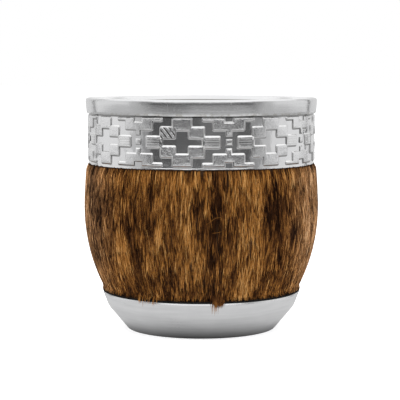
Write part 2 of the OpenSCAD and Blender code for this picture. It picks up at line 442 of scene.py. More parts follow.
def spun_metal(name, bright, dull, rough, mouth_shade=0.0, hem_z=-1.0, lip_z=1.0):
    """Spun aluminium with turning lines, painted shade inside the mouth, a smudged hem and a burnished lip.
    """
    finish = Finish(name)
    x, y, z = finish.parts(finish.place())
    inside = 1 - finish.between((x * x + y * y) ** 0.5, mouth_r + 0.4 * MM, mouth_r + 0.6 * MM)
    # Darker inside the mouth, below the lip: painted shade of the dark mouth.
    stain_and_shade = inside * (1 - finish.between(z, total_h - 1.6 * MM, total_h - 1.35 * MM)) * mouth_shade
    lines = finish.noise(round_the_axis(finish, 0.3 * MM), 1.0, 3.0, 0.6)
    bands = finish.between(finish.noise(round_the_axis(finish, 1.2 * MM), 1.0, 2.0), 0.1, 0.9)
    clouds = finish.noise(finish.place(), 70.0, 4.0, 0.6)
    marks = finish.between(finish.noise(finish.stretched((2200, 2200, 500)), 1.0, 2.0), 0.66, 0.72)
    near_hem = 1 - finish.between(z, hem_z + 0.2 * MM, hem_z + 1.3 * MM)
    smudge = near_hem * finish.between(finish.noise(finish.place(), 480.0, 3.0), 0.42, 0.66)
    burnish = finish.between(z, lip_z - 0.6 * MM, lip_z - 0.5 * MM)
    smudge_colour = (0.5, 0.48, 0.42, 1)
    mouth_shade_colour = (0.3, 0.29, 0.28, 1)
    colour = finish.blend(clouds * 0.65 + bands * 0.35, (*dull, 1), (*bright, 1))
    colour = finish.blend(smudge * 0.6, colour, smudge_colour)
    colour = finish.blend(stain_and_shade, colour, mouth_shade_colour)
    turned = rough + lines * 0.1 + clouds * 0.1
    soiled = marks * 0.12 + stain_and_shade * 0.2 + smudge * 0.15
    finish.shade(Base_Color=colour, Metallic=1.0, Roughness=turned + soiled - burnish * 0.04)
    finish.bump(lines + bands + clouds, 0.012 * MM, 0.6)
    return finish


def embossed_metal():
    """Stamped aluminium: dull grained pads, a polished ground between them, and painted shade on the down-
    and side-facing slopes and under the rim's skirt.
    """
    finish = Finish("embossed_aluminium")
    relief = finish.attribute("relief")
    worn = finish.attribute("worn")
    rugged = relief * (1 - worn)
    x, y, z = finish.parts(finish.place())
    grain = finish.between(finish.noise(finish.place(), 1500.0, 3.0, 0.7), 0.34, 0.66)
    hammered = finish.noise(finish.place(), 420.0, 2.0)
    clouds = finish.noise(finish.place(), 90.0, 3.0)
    slant = finish.maths("ARCTAN2", x, y) * collar_r - z * 0.75 + clouds * 2.5 * MM
    strokes = finish.between(finish.noise(finish.place(), 330.0, 1.0), 0.3, 0.5)
    etched = finish.attribute("etched")
    etching = finish.maths("SINE", slant * (math.tau / etch_pitch)) * strokes * etched
    # Painted shade under the rim's skirt, with a ragged edge.
    painted_rim_shade = finish.between(z + hammered * 2.4 * MM, skirt_z + 0.1 * MM, skirt_z + 1.1 * MM)
    grooves = finish.between(etching, 0.1, 0.8) * 0.75 + finish.between(etched, 0.5, 1.0) * 0.2
    # Painted shade on the slopes that face down or sideways, with less of it high on the relief.
    painted_crease_shade = finish.attribute("grime") * (1 - relief * 0.65) * 0.8
    # Painted shadow of the gap below the rim's skirt.
    gap = finish.between(z, skirt_z - 0.75 * MM, skirt_z - 0.4 * MM) * 0.75
    # The dark colour takes the engraved grooves together with the painted shade.
    grooves_and_painted_shade = finish.maths("MAXIMUM", painted_crease_shade + grooves, finish.maths("MAXIMUM", painted_rim_shade * 0.5, gap))
    tone = 0.3 + clouds * 0.4 + (grain * 0.3 - 0.12) * rugged + worn * 0.3
    stops = [(0.15, (0.78, 0.78, 0.79)), (0.45, (0.9, 0.9, 0.91)), (0.8, (0.98, 0.98, 0.98))]
    groove_and_shade_colour = (0.07, 0.066, 0.06, 1)
    colour = finish.blend(grooves_and_painted_shade, finish.ramp(tone, stops), groove_and_shade_colour)
    rough = 0.1 + rugged * 0.05 + grain * rugged * 0.05 + clouds * 0.06
    finish.shade(Base_Color=colour, Metallic=1.0, Roughness=rough + finish.attribute("dull") * 0.35)
    dents = (grain - 0.5) * rugged * 0.16 + (hammered - 0.5) * (0.5 + rugged * 0.5)
    finish.bump(dents - etching * 0.5, 0.12 * MM)
    return finish


def dyed_leather():
    """Flesh side and bare parting of the hide."""
    finish = Finish("hide_leather")
    pores = finish.cells(1500.0)
    mottle = finish.noise(finish.place(), 160.0, 5.0, 0.65)
    stops = [(0.25, (0.018, 0.009, 0.005)), (0.55, (0.055, 0.026, 0.011)), (0.8, (0.12, 0.062, 0.028))]
    colour = finish.ramp(mottle, stops)
    finish.shade(Base_Color=colour, Roughness=0.62 + mottle * 0.2, Specular_IOR_Level=0.15)
    finish.bump(pores + mottle, 0.08 * MM, 0.8)
    return finish


def brindled_hair():
    """Cow hair: each hair has its own tone, darker at the root and paler towards the tip, partly the hair's
    own colour and partly painted shade of the coat over the roots.
    """
    finish = Finish("brindled_hair")
    tone = finish.attribute("tone")
    along = finish.attribute("along")
    fleck = finish.noise(finish.place(), 900.0, 2.0)
    x, y, z = finish.parts(finish.place())
    hem_shade = finish.between(z, collar_z - 0.8 * MM, collar_z) * 0.75
    value = (tone * (0.6 + along * 0.4) + (fleck - 0.5) * 0.28) * (1 - hem_shade)
    stops = [
        (0.0, (0.0145, 0.0042, 0.001)),
        (0.25, (0.057, 0.0196, 0.0043)),
        (0.5, (0.17, 0.067, 0.0145)),
        (0.75, (0.355, 0.153, 0.032)),
        (1.0, (0.5, 0.27, 0.088)),
    ]
    sheen_grey_stops = [
        (0.0, (0.013, 0.0066, 0.004)),
        (0.25, (0.05, 0.027, 0.013)),
        (0.5, (0.16, 0.085, 0.042)),
        (0.75, (0.34, 0.185, 0.09)),
        (1.0, (0.48, 0.31, 0.19)),
    ]
    # The coat's left and right sides, as the camera sees them, turn greyer: painted sheen of grazing light.
    painted_side_sheen = finish.between(finish.maths("ABSOLUTE", x), 0.62 * belly_r, 0.95 * belly_r) * 0.7
    colour = finish.blend(painted_side_sheen, finish.ramp(value, stops), finish.ramp(value, sheen_grey_stops))
    finish.shade(Base_Color=colour, Roughness=0.5, Specular_IOR_Level=0.09)
    return finish


def cured_gourd():
    """Dried gourd, with the stains of use: long fibres and dark flecks on a warm brown."""
    finish = Finish("cured_gourd")
    fibres = finish.noise(finish.stretched((700, 700, 90)), 1.0, 5.0, 0.6)
    stain_and_shade = finish.noise(finish.place(), 55.0, 4.0, 0.6)
    flecks = finish.between(finish.noise(finish.place(), 900.0, 2.0), 0.62, 0.7)
    x, y, z = finish.parts(finish.place())
    depth = finish.between(z, 8 * MM, 60 * MM)
    tone = fibres * 0.4 + stain_and_shade * 0.35 + depth * 0.25 - flecks * 0.12
    stops = [(0.2, (0.045, 0.02, 0.008)), (0.5, (0.19, 0.092, 0.034)), (0.8, (0.42, 0.24, 0.1))]
    finish.shade(Base_Color=finish.ramp(tone, stops), Roughness=0.58 + stain_and_shade * 0.25)
    finish.bump(fibres + flecks * 0.6, 0.25 * MM, 0.7)
    return finish


def black_cord():
    """Thin black welt with a fine lay."""
    finish = Finish("black_welt")
    x, y, z = finish.parts(finish.place())
    turn = finish.maths("ARCTAN2", y, x)
    lay = finish.maths("SINE", turn * 360 + z * 5200)
    wear = finish.noise(finish.place(), 800.0, 3.0)
    stops = [(0.3, (0.003, 0.003, 0.003)), (0.75, (0.01, 0.009, 0.008))]
    finish.shade(Base_Color=finish.ramp(wear, stops), Roughness=0.8 + wear * 0.2, Specular_IOR_Level=0.1)
    finish.bump(lay * 0.5 + wear, 0.04 * MM, 0.8)
    return finish


def waxed_thread():
    """Pale waxed thread with a fuzz that runs along each stitch."""
    finish = Finish("waxed_thread")
    fuzz = finish.noise(finish.stretched((600, 4200, 4200)), 1.0, 3.0)
    stops = [(0.3, (0.3, 0.22, 0.13)), (0.7, (0.6, 0.48, 0.32))]
    finish.shade(Base_Color=finish.ramp(fuzz, stops), Roughness=0.5 + fuzz * 0.2)
    finish.bump(fuzz, 0.05 * MM, 0.8)
    return finish


def set_paste(name, dark, pale, rough):
    """Hardened sealant or glue, with soft lumps and small bubbles."""
    finish = Finish(name)
    lumps = finish.noise(finish.place(), 260.0, 3.0)
    bubbles = finish.cells(900.0)
    finish.shade(Base_Color=finish.blend(lumps, (*dark, 1), (*pale, 1)), Roughness=rough + lumps * 0.2)
    finish.bump(lumps + bubbles * 0.4, 0.15 * MM, 0.7)
    return finish


# Pieces of metal


def make_rim():
    """Mouth ring: a skirt that laps over the collar, a rolled crown and a sleeve inside the neck."""
    skirt = Vector((skirt_r, skirt_z))
    crest = Vector((skirt_r + skirt_flare, total_h))
    mouth_edge = Vector((mouth_r, total_h))
    brow = skirt.lerp(crest, 1 - brow_drop / skirt_h)
    top = Vector((brow.x - brow_drop * math.tan(brow_lean), total_h))
    brow_bend = rounded(skirt, brow, top, brow_r, 6)
    shoulder = rounded(brow, top, mouth_edge, rim_shoulder_r, 14)
    lip = arc((mouth_r + rim_lip_r, total_h - rim_lip_r), rim_lip_r, 90, 180, 14)
    sleeve_end = Vector((mouth_r, rim_low.z))
    sleeve = straight(lip[-1], sleeve_end, 6)
    fine_rows_share = 0.28
    hem_top = skirt.lerp(brow_bend[0], fine_rows_share)
    face = [skirt] + straight(skirt, hem_top, 7) + [hem_top] + straight(hem_top, brow_bend[0], 5)
    face += brow_bend + shoulder + straight(shoulder[-1], lip[0], 3) + lip + sleeve + [sleeve_end]
    piece = spun("mouth_rim", sheet_outline(face, rim_sheet))
    soften_edges(piece, rim_edge_r)

    def hand_finished(x, y, z):
        """The skirt bows and wavers a little, and its hem turns in where it was pressed on the collar."""
        turn = np.arctan2(y, x)
        low = np.clip((shoulder[0].y - z) / (shoulder[0].y - skirt_z), 0, 1)
        low = np.where(np.hypot(x, y) > collar_r, low, 0)
        out = waves(turn, [(3, 0.04, 0.4), (7, 0.03, 1.9), (17, 0.02, 0.7), (29, 0.012, 2.2)]) * MM
        drop = waves(turn, [(2, 0.05, 1.1), (5, 0.06, 0.2), (13, 0.035, 2.6), (31, 0.02, 0.5)]) * MM
        bow = rim_bow * low * (1 - low)
        hem = np.clip((skirt_z + rim_hem_h - z) / rim_hem_h, 0, 1) ** 2 * low
        crimps = waves(turn, [(13, 0.05, 0.8), (31, 0.05, 2.1), (59, 0.05, 0.3)]) * MM
        curl = hem * (crimps - rim_hem_turn_in)
        grow = 1 + (low * out + bow + curl) / np.hypot(x, y)
        return x * grow, y * grow, z + low * drop

    reshape(piece, hand_finished)
    smooth(piece)
    bright = (0.93, 0.93, 0.935)
    dull = (0.8, 0.805, 0.815)
    finish = spun_metal("rim_aluminium", bright, dull, 0.08, mouth_shade=1.0, hem_z=skirt_z)
    dress(piece, finish, "rim_metal", "rim_ring")


def make_base():
    """Base cup: a flat foot, a steep cone and a band that closes on the hide."""
    axis = Vector((0, 0))
    foot = Vector((foot_r, 0))
    lip = Vector((lip_r, base_h))
    foot_edge = rounded(axis, foot, base_bend, foot_edge_r)
    bend = rounded(foot, base_bend, lip, base_bend_r)
    face = [axis] + straight(axis, foot_edge[0], 8) + foot_edge
    face += straight(foot_edge[-1], bend[0], 6) + bend + straight(bend[-1], lip, 4) + [lip]
    inner = moved(face, base_sheet)
    inner[0].x = 0
    lip_edge = [lip + (bend[-1] - lip).normalized() * lip_edge_h, lip.lerp(inner[-1], lip_edge_share)]
    piece = spun("base_shell", face[:-1] + lip_edge + inner[::-1])
    soften_edges(piece, base_edge_r)
    smooth(piece)
    bright = (0.98, 0.98, 0.985)
    dull = (0.7, 0.705, 0.715)
    finish = spun_metal("base_aluminium", bright, dull, 0.2, lip_z=base_h)
    dress(piece, finish, "base_metal", "base_cup")


# Pattern of the collar: turns in degrees from a diamond's middle, heights in mm from the pattern's middle
pattern_count = 8
pattern_turn = -9.2
pattern_z = collar_z + 10 * MM
tile_turn = 360 / pattern_count
branch_turn = tile_turn / 2
# Pads of a quarter diamond, as least and greatest turn and height
top_pad = (-5.2, 5.2, 3.85, 9.1)
step_pad = (2.6, 11.2, 1.0, 5.9)
end_pad = (9.2, 18.7, -2.5, 2.5)
# Pads of a quarter branch, whose turns are counted back from the branch's middle
square_pad = (-1.7, 1.7, -1.2, 1.2)
stem_pad = (-1.7, 1.7, 2.05, 7.55)
arm_pad = (1.7, 8.3, 3.85, 9.1)
outer_pad = (8.3, 13.3, 7.2, 9.1)
# Widths and rises of the slope round each pad, from its foot to its face
press_steps = [
    (0.03, 0),
    (0.12, 0.02),
    (0.12, 0.07),
    (0.14, 0.14),
    (0.14, 0.13),
    (0.13, 0.07),
    (0.12, 0.02),
]
hem_steps = [(0.03, 0.0), (0.08, 0.02), (0.2, 0.06)]
score_steps = [(0.06, -0.04)]
corner_r = 0.75
hem_h = 0.6
score_turns = (11.2, 17.8)
score_heights = (0.45, 1.35)
score_half_h = 0.15
score_margin = 0.6
widest_strip = 2.05
tile_low = (collar_z - pattern_z) / MM
tile_high = (collar_high.z - pattern_z) / MM
flat_scale = math.radians(collar_r)
# Hatching of the front diamond's two left step pads
etch_pitch = 1.9 * MM
upper_etch = 1.0
lower_etch = 0.28


def from_branch(pad):
    """A branch's pad with its turns counted from the diamond's middle instead."""
    return (branch_turn - pad[1], branch_turn - pad[0], *pad[2:])


diamond_pads = [top_pad, step_pad, end_pad, from_branch(arm_pad), from_branch(outer_pad)]
branch_pads = [from_branch(pad) for pad in (square_pad, stem_pad, arm_pad)]
all_pads = diamond_pads + branch_pads


def in_diamond(place):
    """Whether a place on the flat tile belongs to its diamond and not to the branches beside it."""
    return abs(place.x) / flat_scale < (end_pad[1] + from_branch(stem_pad)[0]) / 2


def in_branch(place):
    return not in_diamond(place)


def on_pad(x, y):
    turn = abs(x) / flat_scale
    height = abs(y) / MM
    return any(a < turn < b and c < height < d for a, b, c, d in all_pads)


def on_square(place):
    return in_branch(place) and abs(place.y) / MM < square_pad[3]


def on_end_pad(place):
    """Whether a place lies on the part of an end pad that is scored."""
    turn = abs(place.x) / flat_scale
    return score_turns[0] < turn < score_turns[1] and abs(place.y) / MM < end_pad[3] - score_margin


def scored(place):
    height = abs(place.y) / MM
    return on_end_pad(place) and any(abs(height - line) < score_half_h for line in score_heights)


def is_corner(place):
    """Whether just one of the four quarters round a place lies on a pad."""
    near = 0.2 * MM
    quarters = [(side * near, up * near) for side in (-1, 1) for up in (-1, 1)]
    return sum(on_pad(place.x + across, place.y + up) for across, up in quarters) == 1


def cut_upright(turn):
    bpy.ops.mesh.select_all(action="SELECT")
    bpy.ops.mesh.bisect(plane_co=(turn * flat_scale, 0, 0), plane_no=(1, 0, 0))


def cut_level(piece, wanted, height):
    select_faces(piece, wanted)
    bpy.ops.mesh.bisect(plane_co=(0, height * MM, 0), plane_no=(0, 1, 0))


def press(piece, wanted, steps):
    """Presses the wanted faces up or down, step by step towards their middle."""
    select_faces(piece, wanted)
    for width, rise in steps:
        bpy.ops.mesh.inset(thickness=width * MM, depth=rise * MM, use_boundary=False)


def cut_tile(piece):
    """Cuts the flat tile along the edges of its pads, and its wide strips once more."""
    sides = {abs(turn) for pad in all_pads for turn in pad[:2]}
    turns = sorted({turn for turn in sides if turn < branch_turn} | {0.0, branch_turn})
    for before, after in zip(turns, turns[1:]):
        strips = math.ceil((after - before) / widest_strip)
        for i in range(strips):
            turn = before + (after - before) * i / strips
            for side in (-1, 1):
                cut_upright(side * turn)
    for wanted, pads in ((in_diamond, diamond_pads), (in_branch, branch_pads)):
        for height in sorted({abs(height) for pad in pads for height in pad[2:]}):
            for side in (-1, 1):
                cut_level(piece, wanted, side * height)


def round_corners(piece):
    """Rounds the pads' corners, but not the smallest ones of the branches, and gives their places."""
    corners = []
    bpy.ops.mesh.select_all(action="DESELECT")
    mesh = bmesh.from_edit_mesh(piece.data)
    for point in mesh.verts:
        sharp = in_branch(point.co) and not 3 < abs(point.co.y) / MM < 8
        if is_corner(point.co) and not sharp:
            corners.append(point.co.copy())
            point.select_set(True)
    bmesh.update_edit_mesh(piece.data)
    bpy.ops.mesh.bevel(offset=corner_r * MM, segments=2, affect="VERTICES")
    return corners


def press_tile(piece):
    """Presses the pads, the hem and the scored lines of the flat tile."""
    corners = round_corners(piece)

    def raised(place):
        cut_off = any((place - corner).length < corner_r * MM / 2 for corner in corners)
        return on_pad(place.x, place.y) and not cut_off

    press(piece, lambda place: raised(place) and not on_square(place), press_steps)
    narrow_steps = [(width / 2, rise) for width, rise in press_steps]
    press(piece, lambda place: raised(place) and on_square(place), narrow_steps)
    hem_top = tile_low + hem_h
    cut_level(piece, lambda place: True, hem_top)
    press(piece, lambda place: place.y / MM < hem_top, hem_steps)
    for line in score_heights:
        for edge in (line - score_half_h, line + score_half_h):
            for side in (-1, 1):
                cut_level(piece, on_end_pad, side * edge)
    press(piece, scored, score_steps)


def mark_relief(piece):
    """Notes on each point of the flat strip how high it was pressed and how strongly it is hatched."""
    x, y, z = read_points(piece).T
    relief = np.clip(z / emboss_h, 0, 1)
    turn = x / flat_scale
    height = np.abs(y) / MM
    on_left_step = (turn > -step_pad[1]) & (turn < -step_pad[0])
    on_left_step = on_left_step & (height > step_pad[2]) & (height < step_pad[3])
    etched = np.where(on_left_step & (relief > 0.7), np.where(y > 0, upper_etch, lower_etch), 0.0)
    keep_values(piece.data, "relief", relief)
    keep_values(piece.data, "etched", etched)


def mark_wear(piece):
    """Notes on each point how polished and how dull it is, and how much painted shade it gets, from the way
    it faces.
    """
    x, y, z = read_points(piece).T
    across, along, up = read_points(piece, "normal").T
    outward = (across * x + along * y) / np.hypot(x, y)
    # Slopes that face down or sideways get painted shade.
    grime = np.clip((1 - outward) * 6, 0, 1) * np.clip(0.85 - 2.2 * up, 0, 1)
    tilt = np.arccos(np.clip(outward, -1, 1))
    below_rim = np.clip((skirt_z - 0.6 * MM - z) / (0.8 * MM), 0, 1)
    level = np.clip(2.5 * np.abs(up), 0, 1)
    worn = np.clip((tilt - 0.03) * 6, 0, 1) * np.clip(0.2 + level, 0, 1) * below_rim
    dull = np.clip((tilt - 0.15) * 3, 0, 1) * (1 - level)
    for label, values in (("grime", grime), ("worn", worn), ("dull", dull)):
        keep_values(piece.data, label, values)


def bent(x, y, z):
    """Bends the flat strip round the neck, with the slight dents of hand work."""
    turn = np.radians(x / flat_scale + pattern_turn)
    dents = waves(turn, [(11, 0.03, 0.3), (23, 0.025, 1.7), (41, 0.02, 0.9)])
    dents = dents * np.sin(y / MM * 0.55 + turn * 3) + 0.02 * np.sin(y / MM * 1.3 + turn * 29)
    r = collar_r + z + dents * MM
    return r * np.sin(turn), -r * np.cos(turn), pattern_z + y


def make_collar():
    """Embossed band: one tile is cut and pressed flat, repeated, and then bent round the neck."""
    deselect()
    bpy.ops.mesh.primitive_plane_add(size=1, location=(0, 0, 0))
    piece = bpy.context.object
    piece.name = "neck_collar"
    piece.dimensions = (tile_turn * flat_scale, (tile_high - tile_low) * MM, 0)
    piece.location.y = (tile_low + tile_high) / 2 * MM
    bpy.ops.object.transform_apply(location=True, scale=True)
    bpy.ops.object.mode_set(mode="EDIT")
    cut_tile(piece)
    press_tile(piece)
    bpy.ops.object.mode_set(mode="OBJECT")
    apply_modifier(piece, "ARRAY", count=pattern_count, use_merge_vertices=True, merge_threshold=MERGE_GAP)
    mark_relief(piece)
    reshape(piece, bent)
    bpy.ops.object.mode_set(mode="EDIT")
    tidy_mesh()
    bpy.ops.object.mode_set(mode="OBJECT")
    face_outwards(piece)
    mark_wear(piece)
    apply_modifier(piece, "SOLIDIFY", thickness=collar_sheet, offset=-1)
    smooth(piece, 30)
    dress(piece, embossed_metal(), "collar_metal", "embossed_collar")


def face_outwards(piece):
    """Turns an open band's faces away from the axis."""
    outward = sum(face.normal.xy.dot(face.center.xy) for face in piece.data.polygons)
    if outward < 0:
        piece.data.flip_normals()


# Gourd, hide and trim


def gourd_side(depth, neck):
    """Outline of the gourd from the axis up its side, a given depth under its own face."""
    heel_z = gourd_low.z + gourd_heel_r
    reach = belly_curve_r - gourd_inset - gourd_heel_r
    heel = Vector((side_centre_x + math.sqrt(reach**2 - (belly_z - heel_z) ** 2), heel_z))
    heel_turn = math.degrees(math.atan2(heel_z - belly_z, heel.x - side_centre_x))
    side = arc((side_centre_x, belly_z), belly_curve_r - gourd_inset - depth, heel_turn, 0, 20)
    bottom = arc(heel, gourd_heel_r - depth, -90, heel_turn)
    floor = Vector((0, gourd_low.z + depth))
    heights = np.linspace(belly_z, collar_z, 12)[1:]
    upper = [Vector((float(eased(z, belly_r - gourd_inset - depth, neck)), z)) for z in heights]
    return [floor] + straight(floor, bottom[0], 5) + bottom + side[1:] + upper


def make_gourd():
    """Hollow gourd with a fibrous, uneven inside and a cut edge at the neck."""
    outer = gourd_side(0, neck_r)
    inner = gourd_side(gourd_wall, neck_bore_r)
    edge = [Vector((neck_r, gourd_high.z)), Vector((neck_bore_r, gourd_high.z))]
    piece = spun("gourd_bowl", outer + edge + inner[::-1])

    def grown(x, y, z):
        """The inside swells and dips a little, as a scraped gourd does."""
        turn = np.arctan2(y, x)
        r = np.maximum(np.hypot(x, y), 1e-9)
        inside = np.clip((gourd_r(z) - 2 * MM - r) / MM, 0, 1) * np.clip((collar_z - z) / (8 * MM), 0, 1)
        swell = waves(turn, [(2, 0.12, 0.6), (3, 0.09, 2.0), (5, 0.06, 1.2)])
        swell = swell + 0.1 * np.sin(z / MM * 0.35 + 2 * turn) + 0.05 * np.sin(z / MM * 0.9 + 7 * turn)
        grow = 1 - inside * (swell + 0.15) * MM / r * np.clip(r / (12 * MM), 0, 1)
        return x * grow, y * grow, z

    reshape(piece, grown)
    smooth(piece)
    dress(piece, cured_gourd(), "gourd", "gourd_shell")


def make_leather():
    """Skin of the hide, which the hair stands on."""
    sleeve = np.linspace(hide_low.z, collar_z, 40)
    under_collar = np.linspace(collar_z, hide_high.z, 6)[1:]
    heights = np.concatenate([sleeve, under_collar])
    outer = [Vector((float(leather_r(z)), z)) for z in heights]
    inner = [Vector((float(gourd_r(z)) + layer_fit, z)) for z in heights]
    piece = spun("hide_leather", outer + inner[::-1] + outer[:1])
    smooth(piece)
    dress(piece, dyed_leather(), "hide", "hide_wrap")


def make_welt():
    """Black welt that lies on the lip of the base."""
    ring = arc((lip_r - welt_r, welt_z), welt_r, 0, 360, 16)
    piece = spun("lip_welt", ring)
    smooth(piece, 60)
    dress(piece, black_cord(), "welt", "base_welt")


# Stitches at the back, from the lowest one up
stitch_pitch = 3.8 * MM
stitch_half_w = 2.4 * MM
thread_r = 0.4 * MM
ply_r = 0.23 * MM
ply_turn_r = 0.17 * MM
stitch_lift = 0.25 * MM
stitch_sink = 1.1 * MM
sink_share = 0.14
stitch_low_z = thread_low.z + thread_r
stitch_count = 1 + round((thread_high.z - thread_low.z - 2 * thread_r) / stitch_pitch)


def make_stitches():
    """Two-ply stitches across the seam, each with its ends down in its holes."""
    curve = bpy.data.curves.new("seam_stitches", "CURVE")
    curve.dimensions = "3D"
    curve.bevel_depth = ply_r
    curve.bevel_resolution = 1
    curve.use_fill_caps = True
    steps = np.linspace(-1, 1, 25)
    for i in range(stitch_count):
        z = stitch_low_z + i * stitch_pitch
        face = float(leather_r(z)) + stitch_lift
        for ply in (0, math.pi):
            spline = curve.splines.new("POLY")
            spline.points.add(len(steps) - 1)
            for point, along in zip(spline.points, steps):
                sink = stitch_sink * max(0, abs(along) - 1 + sink_share) / sink_share
                arch = thread_r * (1 - abs(along) ** 8) - sink
                twist = ply + along * 9 + i * 1.3
                across = stitch_half_w * math.copysign(min(abs(along) / 0.9, 1), along)
                out = face + arch + ply_turn_r * math.cos(twist)
                point.co = (across, out, z + ply_turn_r * math.sin(twist), 1)
    select_only(placed("seam_stitches", curve))
    bpy.ops.object.convert(target="MESH")
    piece = bpy.context.object
    smooth(piece, 60)
    dress(piece, waxed_thread(), "thread", "hide_seam_thread")


# Hair of the hide
HAIR_SEED = 11
hair_layers = 5
hairs_per_layer = 11900
clump_count = 13000
hair_length = 6.0 * MM
hair_half_w = 0.13 * MM
root_top_z = collar_z + 0.3 * MM
root_low_z = hair_z + 1.6 * MM
clump_spread = (0.17 * MM, 1.3 * MM)
clump_gather = 0.7
parting_half_w = 3.3 * MM
stubble_length = 1.4 * MM
stubble_share = 0.08
collar_reach = 4 * MM
tuft_length = 14 * MM
tuft_clear = 0.15 * MM
# Rings of a hair, as shares of its length and of its width
hair_stations = (0.0, 0.4, 0.75, 1.0)
hair_taper = (0.9, 1.0, 0.7)
points_per_hair = 10
# Every hair has a cell of its own in the bake, and its rings lie at these heights of the cell
bake_columns = 256
bake_rows = 48
ring_spots = (0.1, 0.45, 0.8)

# Chance streaks, of which the broad ones keep clear of the front
broad_streaks = 90
fine_streaks = 420
front_turn = 72
# Dark and pale streaks in front: turn, height, half width and half length in degrees and mm, and strength
front_streaks = [
    (-67, 60, 5, 7, -0.5),
    (-60, 50, 5, 9, -0.45),
    (-51, 63, 3, 4, 0.2),
    (-49, 60, 2, 5, -0.35),
    (-47, 50, 3, 6, -0.2),
    (-40, 58, 3, 6, -0.15),
    (-43, 37, 3, 8, 0.34),
    (-42, 22, 5, 4, -0.3),
    (-36, 47, 3.5, 5, -0.6),
    (-33, 38, 3.5, 5, -0.6),
    (-35, 25, 4, 5, -0.4),
    (-27, 33, 3, 6, 0.34),
    (-25, 46, 2.5, 5, -0.55),
    (-24, 59, 2, 6, -0.35),
    (-20, 43, 1.5, 8, 0.41),
    (-17, 58, 3, 6, 0.16),
    (-17, 43, 1.5, 4, -0.35),
    (-14, 35, 3, 5, 0.27),
    (-7, 49, 2.4, 9, 0.85),
    (-8, 31, 3, 4, 0.41),
    (-10, 23, 5, 4, -0.15),
    (-2, 55, 2, 4, -0.55),
    (2, 53, 1.2, 3, 0.41),
    (8, 59, 3, 7, -0.65),
    (6, 48, 3.5, 6, -0.65),
    (9, 39, 1.8, 4, -0.4),
    (6, 34, 2.5, 4, -0.5),
    (5, 22, 4, 5, -0.2),
    (16, 56, 3, 8, 0.27),
    (15, 46, 2, 4, -0.25),
    (25, 56, 4, 8, 0.34),
    (23, 40, 5, 8, 0.41),
    (23, 23, 4.5, 8, 0.68),
    (37, 59, 3.5, 5, -0.55),
    (34, 51, 3.5, 5, -0.65),
    (41, 55, 3, 6, -0.55),
    (39, 44, 3, 6, -0.5),
    (45, 37, 4, 7, -0.35),
    (38, 27, 4, 6, -0.45),
    (53, 57, 3, 8, 0.16),
    (62, 50, 5, 12, 0.34),
    (62, 35, 4, 7, 0.27),
]


def streaked(turn, z):
    """How much paler the coat is at a place, from the streaks in front and chance streaks elsewhere."""
    chance = np.random.default_rng(HAIR_SEED + 1)
    tone = np.zeros(turn.shape)
    streaks = list(front_streaks)
    for _ in range(broad_streaks):
        middle = chance.uniform(-180, 180)
        height = chance.uniform(16, 64)
        half_w = chance.uniform(2.2, 5.5)
        half_l = chance.uniform(6, 15)
        strength = chance.choice([-0.5, -0.3, 0.3, 0.2])
        if abs(middle) > front_turn:
            streaks.append((middle, height, half_w, half_l, strength))
    for _ in range(fine_streaks):
        middle = chance.uniform(-180, 180)
        height = chance.uniform(14, 65)
        half_w = chance.uniform(0.8, 2.4)
        half_l = chance.uniform(2.5, 7)
        streaks.append((middle, height, half_w, half_l, chance.normal(0, 0.2)))
    for middle, height, half_w, half_l, strength in streaks:
        away = (np.degrees(turn) - middle + 180) % 360 - 180
        tone = tone + strength * np.exp(-((away / half_w) ** 2) - ((z / MM - height) / half_l) ** 2)
    return tone


def comb_hair():
    """Root place, length, lean, lift and tone of every hair, gathered in clumps."""
    chance = np.random.default_rng(HAIR_SEED)
    count = hair_layers * hairs_per_layer
    clump_turn = chance.uniform(-math.pi, math.pi, clump_count)
    clump_z = chance.uniform(root_low_z, root_top_z + 1.5 * MM, clump_count)
    clump_lean = chance.normal(0, 0.06, clump_count)
    clump_tone = chance.normal(0, 0.14, clump_count)
    clump_lift = chance.uniform(0.35, 1.0, clump_count)
    clump_share = chance.uniform(0.6, 1.4, clump_count)
    clump = chance.integers(0, clump_count, count)
    aside = chance.normal(0, clump_spread[0], count)
    z = clump_z[clump] + chance.normal(0, clump_spread[1], count)
    z = np.where(z > root_top_z, root_top_z - np.abs(chance.normal(0, 1.2 * MM, count)), z)
    z = np.where(z < root_low_z, root_low_z + np.abs(chance.normal(0, 3 * MM, count)), z)
    r = leather_r(z)
    turn = clump_turn[clump] + aside / r
    length = hair_length * chance.uniform(0.7, 1.2, count)
    lean = clump_lean[clump] + chance.normal(0, 0.075, count)
    lift = clump_lift[clump] * chance.uniform(0.75, 1.1, count)
    streak_turn = clump_turn[clump] * 0.6 + turn * 0.4
    streak_z = clump_z[clump] * 0.5 + z * 0.5
    tone = 0.5 + 0.8 * streaked(streak_turn, streak_z) * clump_share[clump]
    # Hairs that lie lower in the coat are darker: painted shade of the hairs above them.
    tone = tone + clump_tone[clump] + chance.normal(0, 0.19, count) + (lift - 0.7) * 0.6
    tone = tone + 0.07 * np.clip((z - collar_z) / (10 * MM) + 1, 0, 1)
    from_back = np.abs((turn + math.tau) % math.tau - math.pi) * r
    parted = from_back < parting_half_w
    keep = ~(parted & (chance.uniform(0, 1, count) > stubble_share))
    length = np.where(parted, stubble_length, length)
    width = hair_half_w * chance.uniform(0.75, 1.2, count)
    drawn_in = aside * clump_gather * np.clip((z - hair_z) / (9 * MM), 0.1, 1)
    drop = chance.uniform(-0.5, 0.3, count) * MM
    hairs = dict(
        turn=turn, z=z, length=length, lean=lean, lift=lift,
        tone=tone, width=width, drawn_in=drawn_in, drop=drop,
    )
    hairs = {name: values[keep] for name, values in hairs.items()}
    extra = loose_hairs()
    return {name: np.concatenate([values, extra[name]]) for name, values in hairs.items()}


